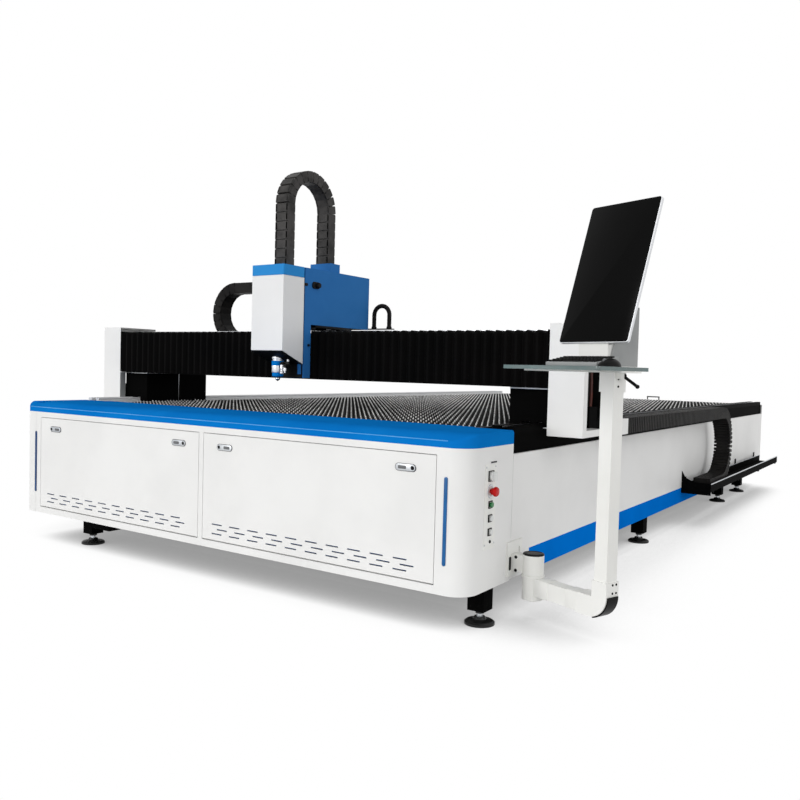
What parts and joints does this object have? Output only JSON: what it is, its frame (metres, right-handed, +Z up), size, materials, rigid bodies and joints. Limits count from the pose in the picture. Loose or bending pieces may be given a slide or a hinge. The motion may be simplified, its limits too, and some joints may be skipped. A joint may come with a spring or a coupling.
{
  "type": "fiber laser cutting machine",
  "caption": "Open flatbed fiber laser cutting machine with a bellows-covered gantry, cutting head, slatted table, front cabinet, drag chains and a swinging operator console.",
  "frame": {"origin": "middle of the outline on the floor", "axes": "+X to the right along the front, +Y from the front cabinet to the rear, +Z up"},
  "size_m": [3.837, 6.1308, 2.1395],
  "materials": {
    "black_steel": "black paint, half matte",
    "foot_steel": "dark grey levelling pads",
    "white_paint": "white powder coat",
    "blue_paint": "blue gloss paint",
    "table_steel": "bare mild steel, slightly scaled",
    "bright_steel": "ground steel",
    "grey_housing": "dark grey housings",
    "chain_plastic": "black polyamide",
    "bellows_cloth": "black coated cloth",
    "screen_black": "black screen and casing",
    "tray_glass": "clear tray",
    "head_alloy": "anodised aluminium",
    "red_plastic": "red mushroom button",
    "green_plastic": "green push button",
    "white_plastic": "white push button"
  },
  "bodies": {
    "bed": {"bed_beams": "black_steel", "cross_members": "black_steel", "leg_blocks": "black_steel", "levelling_feet": "foot_steel", "bed_panels": "white_paint", "skirts": "blue_paint", "front_cabinet": "white_paint", "top_trim": "blue_paint", "slat_frame": "table_steel", "slats": "table_steel", "slag_pan": "table_steel", "y_guides": "bright_steel", "control_plate": "white_paint", "control_gear": "grey_housing", "console_bracket": "white_paint", "chain_tray": "black_steel", "y_chain": "chain_plastic"},
    "panel_left": {"access_panel_left": "white_paint"},
    "panel_right": {"access_panel_right": "white_paint"},
    "latch_1": {"latch_cam_1": "bright_steel"},
    "latch_2": {"latch_cam_2": "bright_steel"},
    "latch_3": {"latch_cam_3": "bright_steel"},
    "latch_4": {"latch_cam_4": "bright_steel"},
    "power_switch_knob": {"power_switch": "chain_plastic"},
    "estop": {"estop_button": "red_plastic"},
    "button_1": {"push_button_1": "green_plastic"},
    "button_2": {"push_button_2": "white_plastic"},
    "button_3": {"push_button_3": "chain_plastic"},
    "gantry": {"gantry_beam": "black_steel", "gantry_feet": "black_steel", "end_covers": "white_paint", "y_drives": "grey_housing", "y_blocks": "bright_steel", "x_guides": "bright_steel", "x_chain": "chain_plastic", "bellows_left": "bellows_cloth", "bellows_right": "bellows_cloth"},
    "pinion_left": {"y_pinion_left": "bright_steel"},
    "pinion_right": {"y_pinion_right": "bright_steel"},
    "carriage": {"carriage_plate": "blue_paint", "carriage_box": "blue_paint", "carriage_drives": "grey_housing", "x_blocks": "bright_steel", "hose_loop": "chain_plastic", "z_chain": "chain_plastic"},
    "pinion_cross": {"x_pinion": "bright_steel"},
    "lift_screw": {"z_screw": "bright_steel"},
    "z_head": {"head_slide": "grey_housing", "head_cover": "white_paint", "head_cap": "blue_paint", "cutting_head": "head_alloy"},
    "console": {"console_frame": "white_paint", "elbow_cap": "chain_plastic", "console_tray": "tray_glass", "monitor": "screen_black", "monitor_stand": "white_paint", "keyboard": "grey_housing", "mouse": "chain_plastic"},
    "clamp": {"clamp_lever": "chain_plastic"}
  },
  "joints": [
    {"name": "gantry_y", "type": "slide", "parent": "bed", "child": "gantry", "axis": [0, 1, 0], "range_m": [-0.2, 3.8], "deforming": ["y_chain"]},
    {"name": "carriage_x", "type": "slide", "parent": "gantry", "child": "carriage", "axis": [1, 0, 0], "range_m": [-1, 1], "deforming": ["x_chain", "bellows_left", "bellows_right"]},
    {"name": "head_z", "type": "slide", "parent": "carriage", "child": "z_head", "axis": [0, 0, 1], "range_m": [-0.14, 0.02], "deforming": ["z_chain"]},
    {"name": "pinion_left_turn", "type": "hinge", "parent": "gantry", "child": "pinion_left", "pos_m": [-1.69446, -2.13962, 0.8583], "axis": [1, 0, 0], "range_deg": [-6760, 380]},
    {"name": "pinion_right_turn", "type": "hinge", "parent": "gantry", "child": "pinion_right", "pos_m": [1.25154, -2.13962, 0.8583], "axis": [1, 0, 0], "range_deg": [-6760, 380]},
    {"name": "pinion_cross_turn", "type": "hinge", "parent": "carriage", "child": "pinion_cross", "pos_m": [-0.20946, -1.98962, 1.2983], "axis": [0, 1, 0], "range_deg": [-2080, 2080]},
    {"name": "lift_screw_turn", "type": "hinge", "parent": "carriage", "child": "lift_screw", "pos_m": [-0.14946, -2.41362, 1.2], "axis": [0, 0, 1], "range_deg": [-5060, 740]},
    {"name": "console_swing", "type": "hinge", "parent": "bed", "child": "console", "pos_m": [1.37854, -2.54462, 0.15], "axis": [0, 0, 1], "range_deg": [-70, 40]},
    {"name": "clamp_turn", "type": "hinge", "parent": "console", "child": "clamp", "pos_m": [1.78543, -2.69271, 1.052], "axis": [0.342, 0.9397, 0], "range_deg": [0, 50]},
    {"name": "panel_left_tilt", "type": "hinge", "parent": "bed", "child": "panel_left", "pos_m": [-0.90646, -2.94562, 0.209], "axis": [1, 0, 0], "range_deg": [0, 85]},
    {"name": "panel_right_tilt", "type": "hinge", "parent": "bed", "child": "panel_right", "pos_m": [0.46354, -2.94562, 0.209], "axis": [1, 0, 0], "range_deg": [0, 85]},
    {"name": "latch_1_turn", "type": "hinge", "parent": "panel_left", "child": "latch_1", "pos_m": [-1.46396, -2.94462, 0.656], "axis": [0, -1, 0], "range_deg": [0, 90]},
    {"name": "latch_2_turn", "type": "hinge", "parent": "panel_left", "child": "latch_2", "pos_m": [-0.34896, -2.94462, 0.656], "axis": [0, 1, 0], "range_deg": [0, 90]},
    {"name": "latch_3_turn", "type": "hinge", "parent": "panel_right", "child": "latch_3", "pos_m": [-0.09396, -2.94462, 0.656], "axis": [0, -1, 0], "range_deg": [0, 90]},
    {"name": "latch_4_turn", "type": "hinge", "parent": "panel_right", "child": "latch_4", "pos_m": [1.02104, -2.94462, 0.656], "axis": [0, 1, 0], "range_deg": [0, 90]},
    {"name": "power_switch_turn", "type": "hinge", "parent": "bed", "child": "power_switch_knob", "pos_m": [1.28054, -2.76962, 0.631], "axis": [1, 0, 0], "range_deg": [0, 90]},
    {"name": "estop_push", "type": "slide", "parent": "bed", "child": "estop", "axis": [-1, 0, 0], "range_m": [0, 0.006], "stiffness_N_per_m": 1200},
    {"name": "button_1_push", "type": "slide", "parent": "bed", "child": "button_1", "axis": [-1, 0, 0], "range_m": [0, 0.004], "stiffness_N_per_m": 800},
    {"name": "button_2_push", "type": "slide", "parent": "bed", "child": "button_2", "axis": [-1, 0, 0], "range_m": [0, 0.004], "stiffness_N_per_m": 800},
    {"name": "button_3_push", "type": "slide", "parent": "bed", "child": "button_3", "axis": [-1, 0, 0], "range_m": [0, 0.004], "stiffness_N_per_m": 800}
  ],
  "couplings": [
    {"joint": "pinion_left_turn", "follows": "gantry_y", "rad_per_m": -30.722},
    {"joint": "pinion_right_turn", "follows": "gantry_y", "rad_per_m": -30.722},
    {"joint": "pinion_cross_turn", "follows": "carriage_x", "rad_per_m": 35.842},
    {"joint": "lift_screw_turn", "follows": "head_z", "rad_per_m": 628.32}
  ]
}
